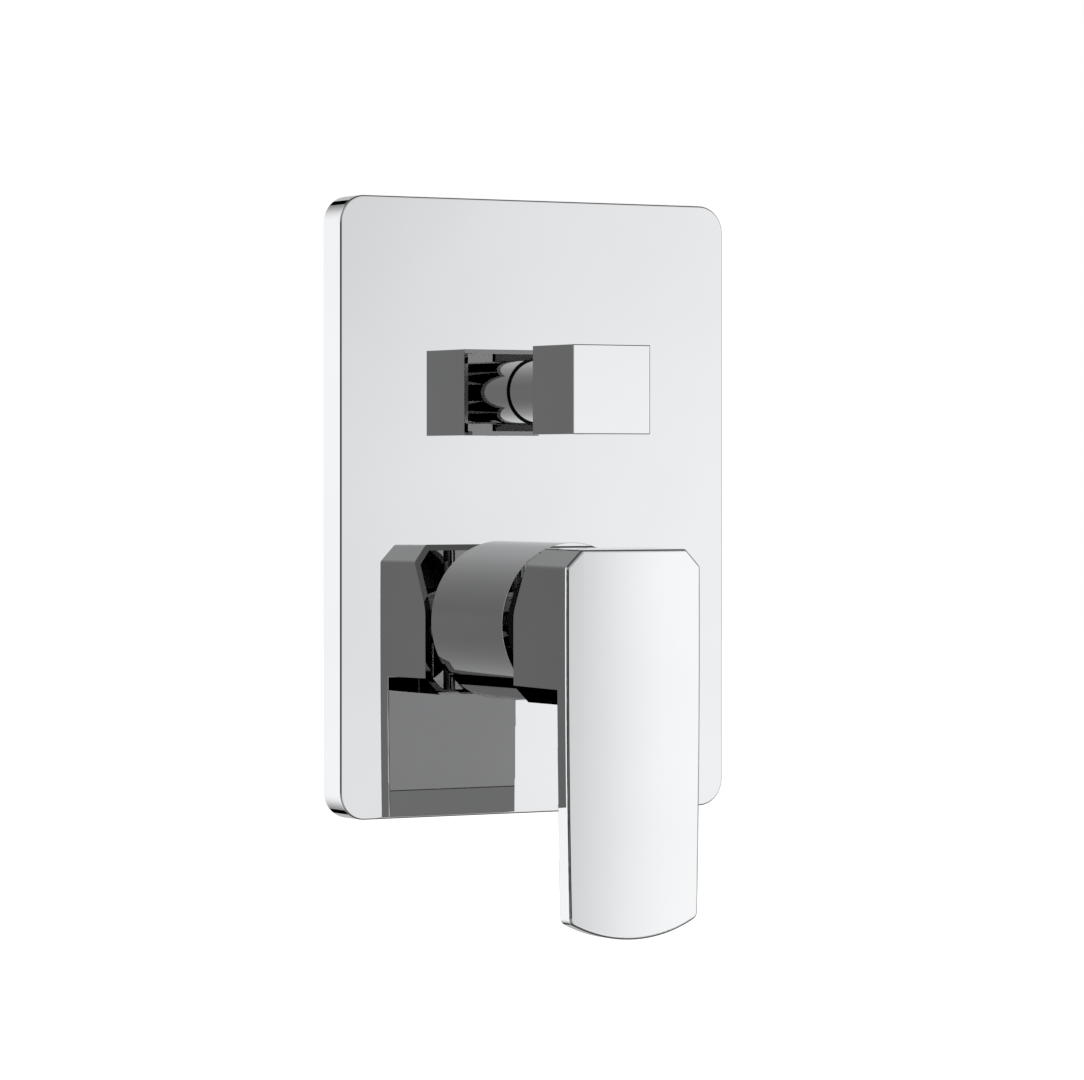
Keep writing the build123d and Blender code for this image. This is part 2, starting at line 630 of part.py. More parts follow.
# Lever handle: a hollow block with chamfered corners that runs down into a thin blade
handle_half = handle_width / 2
tip_half = handle_tip_width / 2
tip_corner_drop = handle_drop - tip_crown
side_top = handle_rise - corner_chamfer
side_top_half = handle_half - (handle_half - tip_half) * (side_top / tip_corner_drop) ** 2
crown_radius = (handle_half**2 + handle_crown**2) / (2 * handle_crown)
crown_front = handle_front + handle_crown
block_half = handle_half + handle_depth * tan(radians(handle_draft))
blade_top = lever_z - block_drop
relief_bottom = lever_z + relief_start
relief_top = lever_z + handle_rise + corner_chamfer
relief_curve = relief_radius * sin(radians(relief_angle))
relief_inset = relief_radius * (1 - cos(radians(relief_angle)))
relief_slope = relief_top - relief_bottom - relief_curve
relief_depth = relief_inset + relief_slope * tan(radians(relief_angle))
with BuildPart() as lever_handle:
    with BuildSketch(facing(crown_front, lever_z)) as lever_outline:
        with BuildLine():
            Polyline(
                (-side_top_half, side_top),
                (-side_top_half + corner_chamfer, handle_rise),
                (side_top_half - corner_chamfer, handle_rise),
                (side_top_half, side_top),
            )
            ThreePointArc((side_top_half, side_top), (handle_half, 0), (tip_half, -tip_corner_drop))
            ThreePointArc((tip_half, -tip_corner_drop), (0, -handle_drop), (-tip_half, -tip_corner_drop))
            ThreePointArc((-tip_half, -tip_corner_drop), (-handle_half, 0), (-side_top_half, side_top))
        make_face()
        corners = lever_outline.vertices().group_by(Axis.Y)
        fillet(corners[-1] + corners[-2], radius=block_corner_radius)
        fillet(lever_outline.vertices().group_by(Axis.Y)[0], radius=tip_corner_radius)
    extrude(amount=-(handle_depth + handle_crown), taper=-handle_draft)
    with BuildSketch(rising(crown_front - crown_radius, lever_z)):
        Circle(crown_radius)
    extrude(amount=2 * handle_drop, both=True, mode=Mode.INTERSECT)
    # Room behind the blade, up to the block's chamfered underside
    with BuildSketch(facing(block_back, lever_z)):
        Polygon(
            (-block_half + corner_chamfer, -block_drop),
            (block_half - corner_chamfer, -block_drop),
            (block_half + corner_chamfer, 2 * corner_chamfer - block_drop),
            (block_half + corner_chamfer, -2 * handle_drop),
            (-block_half - corner_chamfer, -2 * handle_drop),
            (-block_half - corner_chamfer, 2 * corner_chamfer - block_drop),
            align=None,
        )
    extrude(amount=blade_back - block_back, mode=Mode.SUBTRACT)
    blade_rim = lever_handle.faces().filter_by(lambda face: abs(face.center().Y + blade_back) < fit_clearance)
    blade_rim = blade_rim.edges().filter_by(lambda edge: edge.center().Z < blade_top - corner_chamfer)
    fillet(blade_rim, radius=blade_edge_radius)
    # The upper back leans away, so that the lifted block clears the sleeve
    with BuildSketch(Plane.YZ):
        with BuildLine():
            relief_arc = TangentArc(
                (-block_back, relief_bottom),
                (-block_back - relief_inset, relief_bottom + relief_curve),
                tangent=(0, 1),
            )
            Polyline(
                relief_arc @ 1,
                (-block_back - relief_depth, relief_top),
                (-sleeve_front, relief_top),
                (-sleeve_front, relief_bottom),
                relief_arc @ 0,
            )
        make_face()
    extrude(amount=handle_width, both=True, mode=Mode.SUBTRACT)
    fillet(lever_handle.faces().sort_by(Axis.Y)[0].edges(), radius=handle_edge_radius)
    # Cavity, and in it the boss for the stem, the column for the grub screw and a round rib down the floor
    with BuildSketch(facing(block_back, lever_z)):
        with BuildLine():
            Polyline(
                (-handle_half, side_top),
                (-handle_half + corner_chamfer, handle_rise),
                (handle_half - corner_chamfer, handle_rise),
                (handle_half, side_top),
                (handle_half, corner_chamfer - block_drop),
                (handle_half - corner_chamfer, -block_drop),
                (-handle_half + corner_chamfer, -block_drop),
                (-handle_half, corner_chamfer - block_drop),
                close=True,
            )
        make_face()
        offset(amount=-handle_wall, kind=Kind.INTERSECTION, mode=Mode.REPLACE)
    extrude(amount=cavity_floor - block_back, mode=Mode.SUBTRACT)
    with BuildSketch(facing(boss_back, lever_z)):
        Circle(boss_radius)
    extrude(amount=cavity_floor - boss_back)
    with BuildSketch(hanging(grub_height, lever_z)):
        Circle(column_radius)
    extrude(amount=block_drop - handle_wall / 2)
    with BuildSketch(rising(cavity_floor, blade_top + handle_wall / 2)):
        Circle(rib_radius)
    extrude(amount=block_drop + handle_rise - handle_wall)
    with BuildSketch(facing(boss_back, lever_z)):
        Rectangle(stem_size + 2 * fit_clearance, stem_size + 2 * fit_clearance)
    extrude(amount=socket_depth, mode=Mode.SUBTRACT)
    with BuildSketch(hanging(grub_height, lever_z)):
        Circle(lever_grub_radius)
    extrude(amount=block_drop, mode=Mode.SUBTRACT)
    with BuildSketch(hanging(grub_height, lever_z - block_drop)):
        Circle(plug_radius)
    extrude(amount=-plug_thickness, mode=Mode.SUBTRACT)
lever_handle.part.label = "lever_handle"
export_step(lever_handle.part, "parts/lever_handle.step")

# Grub screw that clamps the handle on the stem
lever_grub_top = lever_z - stem_size / 2 - fit_clearance
lever_grub_screw = grub_screw(
    grub_height, lever_grub_top, lever_grub_radius, lever_grub_length, lever_key_radius
)
lever_grub_screw.part.label = "lever_grub_screw"
export_step(lever_grub_screw.part, "parts/lever_grub_screw.step")

# Plug that covers the grub screw, flush with the block's underside
with BuildPart() as screw_plug:
    with BuildSketch(hanging(grub_height, lever_z - block_drop)):
        Circle(plug_radius - running_clearance)
    extrude(amount=-plug_thickness)
screw_plug.part.label = "screw_plug"
export_step(screw_plug.part, "parts/screw_plug.step")

# Diverter knob: a square head, open at the back, with a round core that runs on as a hollow stem
knob_opening = knob_size - 2 * knob_wall
with BuildPart() as diverter_knob:
    with BuildSketch(facing(knob_back, diverter_z)):
        Rectangle(knob_size, knob_size)
    extrude(amount=knob_depth)
    fillet(diverter_knob.edges(), radius=knob_edge_radius)
    with BuildSketch(facing(knob_back, diverter_z)):
        Rectangle(knob_opening, knob_opening)
    extrude(amount=knob_hollow, mode=Mode.SUBTRACT)
    with BuildSketch(facing(knob_stem_back, diverter_z)):
        Circle(knob_stem_radius)
    extrude(amount=knob_stem_length + knob_hollow)
    with BuildSketch(facing(knob_stem_back, diverter_z)):
        Circle(knob_stem_bore)
    extrude(amount=knob_stem_length, mode=Mode.SUBTRACT)
    with BuildSketch(facing(knob_back, diverter_z)):
        Rectangle(spindle_square + 2 * fit_clearance, spindle_square + 2 * fit_clearance)
    extrude(amount=knob_socket_depth, mode=Mode.SUBTRACT)
    with BuildSketch(hanging(knob_grub_height, diverter_z)):
        Circle(knob_grub_radius)
    extrude(amount=knob_size, mode=Mode.SUBTRACT)
diverter_knob.part.label = "diverter_knob"
export_step(diverter_knob.part, "parts/diverter_knob.step")

# Grub screw that clamps the knob on the spindle
knob_grub_top = diverter_z - spindle_square / 2 - fit_clearance
knob_grub_screw = grub_screw(
    knob_grub_height, knob_grub_top, knob_grub_radius, knob_grub_length, knob_key_radius
)
knob_grub_screw.part.label = "knob_grub_screw"
export_step(knob_grub_screw.part, "parts/knob_grub_screw.step")

# Diverter bonnet: the brass headwork, with a chamber for the discs and a neck inside the knob's stem
with BuildPart() as diverter_bonnet:
    with BuildSketch(facing(bonnet_back, diverter_z)):
        Circle(bonnet_radius)
    extrude(amount=bonnet_length)
    with BuildSketch(facing(bonnet_seat, diverter_z)):
        RegularPolygon(bonnet_hex / 2, 6, major_radius=False)
    extrude(amount=bonnet_hex_height)
    with BuildSketch(facing(bonnet_neck_back, diverter_z)):
        Circle(bonnet_neck_radius)
    extrude(amount=bonnet_neck_length)
    with BuildSketch(facing(bonnet_back, diverter_z)):
        Circle(bonnet_chamber)
    extrude(amount=bonnet_chamber_depth, mode=Mode.SUBTRACT)
    with BuildSketch(facing(bonnet_chamber_top, diverter_z)):
        Circle(spindle_bore)
    extrude(amount=bonnet_front - bonnet_chamber_top, mode=Mode.SUBTRACT)
diverter_bonnet.part.label = "diverter_bonnet"
export_step(diverter_bonnet.part, "parts/diverter_bonnet.step")

# Stem seal: a rubber washer behind the plate, round the knob's stem
stem_seal_bore = knob_stem_radius + stem_seal_clearance
with BuildPart() as stem_seal:
    with BuildSketch(facing(plate_inside - stem_seal_thickness, diverter_z)):
        Circle(stem_seal_bore + stem_seal_width)
        Circle(stem_seal_bore, mode=Mode.SUBTRACT)
    extrude(amount=stem_seal_thickness)
stem_seal.part.label = "stem_seal"
export_step(stem_seal.part, "parts/stem_seal.step")

# Ring under the bonnet's hexagon
bonnet_o_ring = o_ring(bonnet_seat - bonnet_ring_cord / 2, diverter_z, bonnet_radius, bonnet_ring_cord)
bonnet_o_ring.part.label = "bonnet_o_ring"
export_step(bonnet_o_ring.part, "parts/bonnet_o_ring.step")

# Diverter spindle: a flanged shaft with a ring groove, a clip groove and a square end
spindle_ring_height = bonnet_neck_back + spindle_ring_inset
spindle_ring_bore = spindle_bore - spindle_ring_cord
clip_back = bonnet_front + moving_clearance
with BuildPart() as diverter_spindle:
    with BuildSketch(facing(spindle_back, diverter_z)):
        Circle(bonnet_chamber - moving_clearance)
    extrude(amount=spindle_flange)
    with BuildSketch(facing(spindle_back, diverter_z)):
        Circle(spindle_radius)
    extrude(amount=bonnet_front + spindle_shoulder - spindle_back)
    with BuildSketch(facing(spindle_ring_height - spindle_ring_cord / 2, diverter_z)):
        Circle(spindle_radius)
        Circle(spindle_ring_bore, mode=Mode.SUBTRACT)
    extrude(amount=spindle_ring_cord, mode=Mode.SUBTRACT)
    with BuildSketch(facing(clip_back, diverter_z)):
        Circle(spindle_radius)
        Circle(spindle_radius - clip_groove_depth, mode=Mode.SUBTRACT)
    extrude(amount=clip_thickness + running_clearance, mode=Mode.SUBTRACT)
    with BuildSketch(facing(bonnet_front + spindle_shoulder, diverter_z)):
        Rectangle(spindle_square, spindle_square)
    extrude(amount=spindle_front - bonnet_front - spindle_shoulder)
diverter_spindle.part.label = "diverter_spindle"
export_step(diverter_spindle.part, "parts/diverter_spindle.step")

# Ring on the spindle
spindle_o_ring = o_ring(spindle_ring_height, diverter_z, spindle_ring_bore, spindle_ring_cord)
spindle_o_ring.part.label = "spindle_o_ring"
export_step(spindle_o_ring.part, "parts/spindle_o_ring.step")

# Retaining clip: an open spring ring in the spindle's groove
with BuildPart() as retaining_clip:
    with BuildSketch(facing(clip_back, diverter_z)):
        Circle(clip_radius)
        Circle(spindle_radius - clip_groove_depth + running_clearance, mode=Mode.SUBTRACT)
        with Locations((clip_radius, 0)):
            Rectangle(2 * clip_radius, clip_opening, mode=Mode.SUBTRACT)
    extrude(amount=clip_thickness)
retaining_clip.part.label = "retaining_clip"
export_step(retaining_clip.part, "parts/retaining_clip.step")

# Moving diverter disc: ceramic, under the spindle's flange, with one way through
with BuildPart() as diverter_moving_disc:
    with BuildSketch(facing(diverter_disc_back, diverter_z)):
        Circle(bonnet_chamber - moving_clearance)
        with Locations(diverter_ports[0]):
            Circle(diverter_port_radius, mode=Mode.SUBTRACT)
    extrude(amount=diverter_disc_thickness)
diverter_moving_disc.part.label = "diverter_moving_disc"
export_step(diverter_moving_disc.part, "parts/diverter_moving_disc.step")

# Fixed diverter disc: ceramic, with the three ports
with BuildPart() as diverter_fixed_disc:
    with BuildSketch(facing(diverter_seat, diverter_z)):
        Circle(bonnet_chamber - fit_clearance)
        with Locations(*diverter_ports):
            Circle(diverter_port_radius, mode=Mode.SUBTRACT)
    extrude(amount=diverter_disc_thickness)
diverter_fixed_disc.part.label = "diverter_fixed_disc"
export_step(diverter_fixed_disc.part, "parts/diverter_fixed_disc.step")

# Diverter seal: the rubber pad between the fixed disc and the cup's floor
with BuildPart() as diverter_seal:
    with BuildSketch(facing(bonnet_back, diverter_z)):
        Circle(bonnet_chamber - fit_clearance)
        with Locations(*diverter_ports):
            Circle(diverter_port_radius, mode=Mode.SUBTRACT)
    extrude(amount=diverter_seat - bonnet_back)
diverter_seal.part.label = "diverter_seal"
export_step(diverter_seal.part, "parts/diverter_seal.step")
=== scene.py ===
"""Looks of a concealed bath mixer: finishes, port threads, studio and camera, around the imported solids."""

import logging
import math
from dataclasses import dataclass, field
from enum import Enum
from typing import Any

import bmesh
import bpy
from mathutils import Matrix, Vector


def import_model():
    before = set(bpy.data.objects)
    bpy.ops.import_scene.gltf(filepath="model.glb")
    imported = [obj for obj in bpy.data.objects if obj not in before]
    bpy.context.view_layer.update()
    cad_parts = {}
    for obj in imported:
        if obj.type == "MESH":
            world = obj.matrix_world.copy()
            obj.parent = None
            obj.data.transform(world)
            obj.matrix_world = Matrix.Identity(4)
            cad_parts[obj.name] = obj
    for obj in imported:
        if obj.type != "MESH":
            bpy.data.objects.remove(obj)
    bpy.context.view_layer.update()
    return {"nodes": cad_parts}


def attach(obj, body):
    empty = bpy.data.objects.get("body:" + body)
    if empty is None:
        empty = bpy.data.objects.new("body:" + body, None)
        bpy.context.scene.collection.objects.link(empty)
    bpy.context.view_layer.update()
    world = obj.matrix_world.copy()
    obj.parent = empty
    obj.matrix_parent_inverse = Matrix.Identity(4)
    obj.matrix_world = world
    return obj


LOG = logging.getLogger("bath_mixer")
IMAGE_WIDTH = 1084.0
MM = 0.001
# Heights of the two axes on the plate
LEVER_Z = -33.8 * MM
DIVERTER_Z = 33.8 * MM
# A colour ramp holds values up to 1, so brightness is kept there as a share of this
BRIGHTEST = 2.0

Socket = bpy.types.NodeSocket
Colour = tuple[float, float, float]


class Texture(Enum):
    """The small-scale surface of a moulded finish: the scale of its grain, and its depth in metres."""

    MOULDED = (1400.0, 0.00004)
    CELLS = (700.0, 0.0003)
    LAPPED = (2200.0, 0.000004)


class Port(Enum):
    """A threaded mouth of the valve body: the row axis it opens along, and its side."""

    HOT = ("X", -1.0)
    COLD = ("X", 1.0)
    SHOWER = ("Z", 1.0)
    BATH = ("Z", -1.0)


@dataclass
class Sheet:
    """A node tree, with short calls that add and join its nodes."""

    tree: bpy.types.NodeTree

    def add(self, kind: str, **settings: Any) -> bpy.types.Node:
        """Adds a node and sets its properties.

        Args:
            kind: the node's type name.
            settings: properties of the node, by name.

        Returns:
            The new node.
        """
        node = self.tree.nodes.new(kind)
        for name, value in settings.items():
            setattr(node, name, value)
        return node

    def feed(self, target: Socket, value: Socket | float | Colour | tuple) -> None:
        """Joins a socket to an input, or sets the input's own value.

        Args:
            target: the input.
            value: an output socket, a number or a colour.
        """
        if isinstance(value, bpy.types.NodeSocket):
            self.tree.links.new(value, target)
        elif isinstance(value, tuple) and len(value) == 3 and target.type == "RGBA":
            target.default_value = (*value, 1.0)
        else:
            target.default_value = value

    def math(self, operation: str, *values: Socket | float) -> Socket:
        """Adds a Math node.

        Args:
            operation: the node's operation.
            values: its inputs, in order.

        Returns:
            The result.
        """
        node = self.add("ShaderNodeMath", operation=operation)
        for target, value in zip(node.inputs, values):
            self.feed(target, value)
        return node.outputs[0]

    def ramp(self, value: Socket, low: float, high: float, smooth: bool = True) -> Socket:
        """A value that goes from 0 at low to 1 at high.

        Args:
            value: the input.
            low: where the result is 0.
            high: where the result is 1.
            smooth: whether it eases at both ends.

        Returns:
            The result.
        """
        node = self.add("ShaderNodeMapRange", clamp=True)
        node.interpolation_type = "SMOOTHSTEP" if smooth else "LINEAR"
        self.feed(node.inputs["Value"], value)
        node.inputs["From Min"].default_value = low
        node.inputs["From Max"].default_value = high
        return node.outputs["Result"]

    def mix(self, factor: Socket, first: Socket | float, second: Socket | float) -> Socket:
        """Mixes two values.

        Args:
            factor: 0 gives the first, 1 the second.
            first: the first value.
            second: the second value.

        Returns:
            The result.
        """
        node = self.add("ShaderNodeMix", data_type="FLOAT")
        self.feed(node.inputs["Factor"], factor)
        self.feed(node.inputs["A"], first)
        self.feed(node.inputs["B"], second)
        return node.outputs["Result"]

    def tint(self, factor: Socket, first: Socket | Colour, second: Socket | Colour) -> Socket:
        """Mixes two colours.

        Args:
            factor: 0 gives the first, 1 the second.
            first: the first colour.
            second: the second colour.

        Returns:
            The result.
        """
        node = self.add("ShaderNodeMix", data_type="RGBA")
        self.feed(node.inputs["Factor"], factor)
        self.feed(node.inputs[6], first)
        self.feed(node.inputs[7], second)
        return node.outputs[2]

    def places(self) -> tuple[Socket, Socket, Socket]:
        """Splits Object coordinates, which are those of the part.

        Returns:
            The X, the Y and the Z.
        """
        coordinates = self.add("ShaderNodeTexCoord")
        split = self.add("ShaderNodeSeparateXYZ")
        self.feed(split.inputs[0], coordinates.outputs["Object"])
        return split.outputs[0], split.outputs[1], split.outputs[2]


class Groups:
    """Shader node groups that several finishes share, each built once."""

    broad_detail: float = 3.0
    fine_detail: float = 2.0
    cloud_from: float = 0.3
    cloud_to: float = 0.7

    @staticmethod
    def start(name: str, inputs: dict[str, float], outputs: tuple[str, ...]) -> tuple[Sheet, Any, Any]:
        """Starts a node group.

        Args:
            name: the group's name.
            inputs: the names and default values of its inputs.
            outputs: the names of its outputs.

        Returns:
            The group's sheet, its input node and its output node.
        """
        tree = bpy.data.node_groups.new(name, "ShaderNodeTree")
        for label, value in inputs.items():
            socket = tree.interface.new_socket(label, in_out="INPUT", socket_type="NodeSocketFloat")
            socket.default_value = value
        for label in outputs:
            tree.interface.new_socket(label, in_out="OUTPUT", socket_type="NodeSocketFloat")
        sheet = Sheet(tree)
        return sheet, sheet.add("NodeGroupInput"), sheet.add("NodeGroupOutput")

    @classmethod
    def mottle(cls) -> bpy.types.NodeTree:
        """Cloudy variation over a surface: a broad mask and a fine one.

        Returns:
            The group.
        """
        if "mottle" in bpy.data.node_groups:
            return bpy.data.node_groups["mottle"]
        inputs = {"Broad Scale": 40.0, "Fine Scale": 900.0}
        sheet, given, put = cls.start("mottle", inputs, ("Broad", "Fine"))
        coordinates = sheet.add("ShaderNodeTexCoord")
        for output, detail in (("Broad", cls.broad_detail), ("Fine", cls.fine_detail)):
            noise = sheet.add("ShaderNodeTexNoise")
            sheet.feed(noise.inputs["Vector"], coordinates.outputs["Object"])
            sheet.feed(noise.inputs["Scale"], given.outputs[f"{output} Scale"])
            noise.inputs["Detail"].default_value = detail
            sheet.feed(put.inputs[output], sheet.ramp(noise.outputs[0], cls.cloud_from, cls.cloud_to))
        return sheet.tree

    @classmethod
    def turning(cls) -> bpy.types.NodeTree:
        """Fine rings left by a lathe, round an axis square to the wall at a height on the plate.

        Returns:
            The group.
        """
        if "turning" in bpy.data.node_groups:
            return bpy.data.node_groups["turning"]
        sheet, given, put = cls.start("turning", {"Axis Z": 0.0, "Pitch": 0.0004}, ("Height",))
        x, y, z = sheet.places()
        rise = sheet.math("SUBTRACT", z, given.outputs["Axis Z"])
        squares = sheet.math("ADD", sheet.math("POWER", x, 2.0), sheet.math("POWER", rise, 2.0))
        radius = sheet.math("SQRT", squares)
        path = sheet.math("DIVIDE", sheet.math("ADD", radius, y), given.outputs["Pitch"])
        sheet.feed(put.inputs["Height"], sheet.math("SINE", sheet.math("MULTIPLY", path, math.tau)))
        return sheet.tree

    @staticmethod
    def place(sheet: Sheet, tree: bpy.types.NodeTree, **values: float) -> bpy.types.Node:
        """Puts a group into a material.

        Args:
            sheet: the material's nodes.
            tree: the group.
            values: its inputs, by name, with _ for a space.

        Returns:
            The group node.
        """
        node = sheet.add("ShaderNodeGroup", node_tree=tree)
        for name, value in values.items():
            node.inputs[name.replace("_", " ")].default_value = value
        return node


@dataclass(frozen=True)
class Finish:
    """The base of every finish: a named material with one Principled shader."""

    name: str

    def open(self) -> tuple[bpy.types.Material, Sheet, bpy.types.Node]:
        """Starts the material.

        Returns:
            The material, its nodes, and its Principled shader.
        """
        material = bpy.data.materials.new(self.name)
        material.use_nodes = True
        sheet = Sheet(material.node_tree)
        return material, sheet, material.node_tree.nodes["Principled BSDF"]

    @staticmethod
    def bump(sheet: Sheet, shader: bpy.types.Node, height: Socket, strength: float, depth: float) -> None:
        """Feeds a height to the shader's normal.

        Args:
            sheet: the material's nodes.
            shader: its Principled shader.
            height: the height.
            strength: how much of it shows.
            depth: how deep it is, in metres.
        """
        node = sheet.add("ShaderNodeBump")
        node.inputs["Strength"].default_value = strength
        node.inputs["Distance"].default_value = depth
        sheet.feed(node.inputs["Height"], height)
        sheet.feed(shader.inputs["Normal"], node.outputs[0])


@dataclass(frozen=True)
class Chrome(Finish):
    """Polished chrome plate, with a faint film that dulls it in places."""

    clean: Colour = (0.520, 0.520, 0.520)
    filmed: Colour = (0.503, 0.503, 0.503)
    roughness: tuple[float, float] = (0.004, 0.016)
    film_scale: float = 16.0

    def tone(self, sheet: Sheet, film: Socket) -> Socket:
        """The colour of the plating.

        Args:
            sheet: the material's nodes.
            film: where the film lies.

        Returns:
            The colour.
        """
        return sheet.tint(film, self.clean, self.filmed)

    def make(self) -> bpy.types.Material:
        """Makes the material.

        Returns:
            The material.
        """
        material, sheet, shader = self.open()
        shader.inputs["Metallic"].default_value = 1.0
        film = Groups.place(sheet, Groups.mottle(), Broad_Scale=self.film_scale).outputs["Broad"]
        sheet.feed(shader.inputs["Base Color"], self.tone(sheet, film))
        sheet.feed(shader.inputs["Roughness"], sheet.mix(film, *self.roughness))
        return material


@dataclass(frozen=True)
class KnobChromePaintedEdge(Chrome):
    """Chrome on the square knob, with a painted dark edge reflection: a thin dark line along three of its
    front edges, standing in for a larger edge radius.
    """

    # Painted light: this plating is set a little brighter than the plate's chrome, a lit copy of the same
    # finish
    clean: Colour = (0.543, 0.543, 0.543)
    filmed: Colour = (0.527, 0.527, 0.527)
    # Colour of the painted dark edge reflection along the knob's front edges
    edge: Colour = (0.06, 0.06, 0.06)
    middle_z: float = DIVERTER_Z
    half: float = 12.8 * MM
    front_y: float = -53.9 * MM
    line: float = 0.27 * MM
    blend: float = 0.05 * MM

    def tone(self, sheet: Sheet, film: Socket) -> Socket:
        """The colour of the plating, with the painted dark edge line along the right, upper and lower edges.

        Args:
            sheet: the material's nodes.
            film: where the film lies.

        Returns:
            The colour.
        """
        x, y, z = sheet.places()
        rise = sheet.math("ABSOLUTE", sheet.math("SUBTRACT", z, self.middle_z))
        inner = self.half - self.line
        back = self.front_y + self.line
        # Mask of the painted edge shade: near the right, upper and lower sides, at the front face, mixed
        # into the plating's colour
        painted_line_sides = sheet.ramp(sheet.math("MAXIMUM", x, rise), inner, inner + self.blend)
        front = sheet.ramp(y, back, back - self.blend)
        return sheet.tint(sheet.math("MULTIPLY", painted_line_sides, front), super().tone(sheet, film), self.edge)


@dataclass(frozen=True)
class CastBrass(Finish):
    """Blasted brass, darker where it stays rough and bright on the machined ends of the ports."""

    rough_light: Colour = (0.50, 0.37, 0.18)
    rough_dark: Colour = (0.30, 0.21, 0.10)
    machined: Colour = (0.80, 0.62, 0.32)
    inlet_from: float = 26.8 * MM
    outlet_from: float = 56.6 * MM
    cloud_scale: float = 55.0
    grain_scale: float = 1300.0
    roughness: tuple[float, float] = (0.52, 0.24)
    grain: tuple[float, float] = (1.0, 0.12)
    grain_strength: float = 0.5
    grain_depth: float = 0.2 * MM

    def make(self) -> bpy.types.Material:
        """Makes the material.

        Returns:
            The material.
        """
        material, sheet, shader = self.open()
        shader.inputs["Metallic"].default_value = 1.0
        scales = {"Broad_Scale": self.cloud_scale, "Fine_Scale": self.grain_scale}
        cloud = Groups.place(sheet, Groups.mottle(), **scales)
        x, _, z = sheet.places()
        inlet = sheet.math("GREATER_THAN", sheet.math("ABSOLUTE", x), self.inlet_from)
        outlet = sheet.math("GREATER_THAN", sheet.math("ABSOLUTE", z), self.outlet_from)
        cut = sheet.math("MAXIMUM", inlet, outlet)
        blasted = sheet.tint(cloud.outputs["Broad"], self.rough_light, self.rough_dark)
        sheet.feed(shader.inputs["Base Color"], sheet.tint(cut, blasted, self.machined))
        sheet.feed(shader.inputs["Roughness"], sheet.mix(cut, *self.roughness))
        grain = sheet.math("MULTIPLY", cloud.outputs["Fine"], sheet.mix(cut, *self.grain))
        self.bump(sheet, shader, grain, self.grain_strength, self.grain_depth)
        return material


@dataclass(frozen=True)
class TurnedMetal(Finish):
    """Metal from a lathe, with rings round the axis it was turned on."""

    light: Colour
    dark: Colour
    axis_z: float
    roughness: float = 0.25
    wear: float = 0.1
    cloud_scale: float = 120.0
    wear_scale: float = 1500.0
    ring_pitch: float = 0.35 * MM
    ring_strength: float = 0.25
    ring_depth: float = 0.02 * MM

    def make(self) -> bpy.types.Material:
        """Makes the material.

        Returns:
            The material.
        """
        material, sheet, shader = self.open()
        shader.inputs["Metallic"].default_value = 1.0
        scales = {"Broad_Scale": self.cloud_scale, "Fine_Scale": self.wear_scale}
        cloud = Groups.place(sheet, Groups.mottle(), **scales)
        rings = Groups.place(sheet, Groups.turning(), Axis_Z=self.axis_z, Pitch=self.ring_pitch)
        sheet.feed(shader.inputs["Base Color"], sheet.tint(cloud.outputs["Broad"], self.light, self.dark))
        worn = sheet.mix(cloud.outputs["Fine"], self.roughness, self.roughness + self.wear)
        sheet.feed(shader.inputs["Roughness"], worn)
        self.bump(sheet, shader, rings.outputs["Height"], self.ring_strength, self.ring_depth)
        return material


@dataclass(frozen=True)
class Moulded(Finish):
    """Plastic, ceramic, rubber or foam, with its own grain."""

    light: Colour
    dark: Colour
    roughness: tuple[float, float]
    texture: Texture = Texture.MOULDED
    cloud_scale: float = 70.0
    grain_strength: float = 0.5

    def make(self) -> bpy.types.Material:
        """Makes the material.

        Returns:
            The material.
        """
        material, sheet, shader = self.open()
        grain_scale, depth = self.texture.value
        scales = {"Broad_Scale": self.cloud_scale, "Fine_Scale": grain_scale}
        cloud = Groups.place(sheet, Groups.mottle(), **scales)
        sheet.feed(shader.inputs["Base Color"], sheet.tint(cloud.outputs["Broad"], self.light, self.dark))
        sheet.feed(shader.inputs["Roughness"], sheet.mix(cloud.outputs["Fine"], *self.roughness))
        height = cloud.outputs["Fine"]
        if self.texture is Texture.CELLS:
            cells = sheet.add("ShaderNodeTexVoronoi")
            coordinates = sheet.add("ShaderNodeTexCoord")
            sheet.feed(cells.inputs["Vector"], coordinates.outputs["Object"])
            cells.inputs["Scale"].default_value = grain_scale
            height = cells.outputs["Distance"]
        self.bump(sheet, shader, height, self.grain_strength, depth)
        return material


